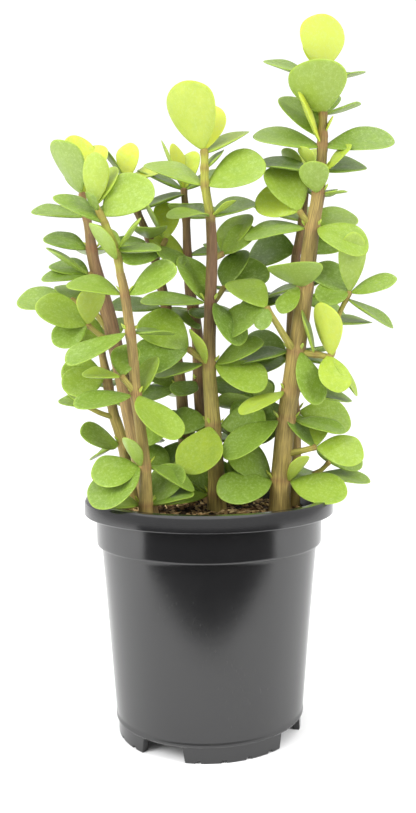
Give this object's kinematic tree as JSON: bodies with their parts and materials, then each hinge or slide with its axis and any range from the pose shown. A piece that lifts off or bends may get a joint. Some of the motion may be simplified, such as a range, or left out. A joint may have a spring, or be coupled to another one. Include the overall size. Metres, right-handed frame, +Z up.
{
  "type": "potted elephant bush",
  "caption": "Small-leaved succulent shrub: upright woody cuttings with opposite, rounded fleshy leaves and short side shoots, rooted in potting mix in a round footed nursery pot.",
  "frame": {"origin": "bottom centre of the whole object's box, on the surface it stands on; the pot's axis is about a millimetre from it", "axes": "+Z up along the pot's axis, +X to the right seen from the front, +Y to the back"},
  "size_m": [0.181, 0.12, 0.3422],
  "materials": {
    "pot_plastic": "moulded black, satin, lightly dusty",
    "potting_mix": "loose dark mix with bark chips",
    "bark": "smooth young bark, olive-brown to purple-brown",
    "leaf": "fleshy satin green with paler rims"
  },
  "bodies": {
    "root": {"nursery_pot": "pot_plastic", "potting_mix": "potting_mix", "back_centre_stem": "bark", "back_left_stem": "bark", "back_right_stem": "bark", "centre_stem": "bark", "front_left_stem": "bark", "left_stem": "bark", "low_left_stem": "bark", "right_stem": "bark", "back_centre_leaves_1": "leaf", "back_centre_leaves_2": "leaf", "back_centre_leaves_3": "leaf", "back_centre_tip": "leaf", "back_left_leaves_1": "leaf", "back_left_leaves_2": "leaf", "back_left_shoot_1": "leaf", "back_left_tip": "leaf", "back_right_leaves_1": "leaf", "back_right_leaves_2": "leaf", "back_right_leaves_3": "leaf", "back_right_shoot_1": "leaf", "back_right_tip": "leaf", "centre_leaves_1": "leaf", "centre_leaves_2": "leaf", "centre_leaves_3": "leaf", "centre_leaves_4": "leaf", "centre_shoot_1": "leaf", "centre_shoot_2": "leaf", "centre_shoot_3": "leaf", "centre_tip": "leaf", "front_left_leaves_1": "leaf", "front_left_leaves_2": "leaf", "front_left_leaves_3": "leaf", "front_left_leaves_4": "leaf", "front_left_leaves_5": "leaf", "front_left_shoot_1": "leaf", "front_left_tip": "leaf", "left_leaves_1": "leaf", "left_shoot_1": "leaf", "left_shoot_2": "leaf", "left_shoot_3": "leaf", "left_tip": "leaf", "low_left_leaves_1": "leaf", "low_left_shoot_1": "leaf", "low_left_tip": "leaf", "right_leaves_1": "leaf", "right_leaves_2": "leaf", "right_leaves_3": "leaf", "right_leaves_4": "leaf", "right_leaves_5": "leaf", "right_leaves_6": "leaf", "right_leaves_7": "leaf", "right_leaves_8": "leaf", "right_shoot_1": "leaf", "right_shoot_2": "leaf", "right_shoot_3": "leaf", "right_shoot_4": "leaf", "right_shoot_5": "leaf", "right_tip": "leaf"}
  },
  "joints": []
}
